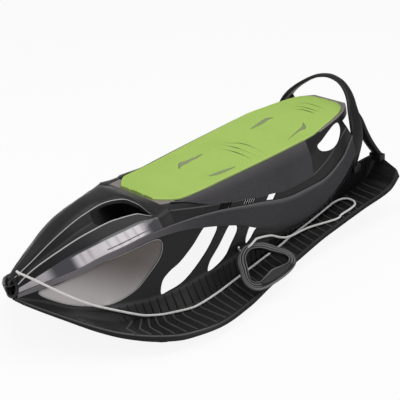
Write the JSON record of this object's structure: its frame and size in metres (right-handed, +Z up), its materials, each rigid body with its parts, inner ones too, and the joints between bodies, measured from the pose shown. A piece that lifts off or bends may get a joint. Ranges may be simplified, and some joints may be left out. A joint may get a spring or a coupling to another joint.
{
  "type": "snow sled",
  "caption": "Moulded snow bob with a padded straddle seat over tread foot trays, a bonnet with a grab bar, a rear hoop handle and a tow rope with a triangular hand grip.",
  "frame": {"origin": "on the snow, under the middle of the sled's length and width, without the rope's own pieces", "axes": "+Z up, -Y toward the nose, +X to the seated rider's left"},
  "size_m": [0.572, 1.0165, 0.3232],
  "materials": {
    "black_plastic": "satin moulded",
    "gloss_plastic": "polished moulded",
    "panel_plastic": "mirror smooth",
    "grained_plastic": "fine grain",
    "lime_pad": "soft matt foam with a moulded skin",
    "rope": "braided",
    "steel": "zinc plated"
  },
  "bodies": {
    "sled": {"lower_hull": "black_plastic", "nose_cover": "gloss_plastic", "seat_deck": "black_plastic", "nose_panel_left": "panel_plastic", "nose_panel_right": "panel_plastic", "side_rail_left": "grained_plastic", "side_rail_right": "grained_plastic", "flank_panel_left": "grained_plastic", "flank_panel_right": "grained_plastic", "seat_pad": "lime_pad", "rear_handle": "black_plastic", "rail_screw_left_1": "steel", "rail_screw_left_2": "steel", "rail_screw_left_3": "steel", "rail_screw_left_4": "steel", "rail_screw_left_5": "steel", "rail_screw_left_6": "steel", "rail_screw_left_7": "steel", "rail_screw_left_8": "steel", "rail_screw_right_1": "steel", "rail_screw_right_2": "steel", "rail_screw_right_3": "steel", "rail_screw_right_4": "steel", "rail_screw_right_5": "steel", "rail_screw_right_6": "steel", "rail_screw_right_7": "steel", "rail_screw_right_8": "steel", "pad_clip_1": "black_plastic", "pad_clip_2": "black_plastic", "pad_clip_3": "black_plastic", "pad_clip_4": "black_plastic", "pad_clip_5": "black_plastic", "pad_clip_6": "black_plastic", "tow_rope": "rope", "rope_end": "rope", "nose_knot": "rope"},
    "tow_grip": {"tow_handle": "gloss_plastic", "grip_plate": "grained_plastic", "handle_knot": "rope"}
  },
  "joints": [
    {"name": "grip_lift", "type": "hinge", "parent": "sled", "child": "tow_grip", "pos_m": [0.17303, -0.0024, 0.08549], "axis": [0.1409, -0.99, 0], "range_deg": [0, 75], "deforming": ["rope_end"]}
  ]
}
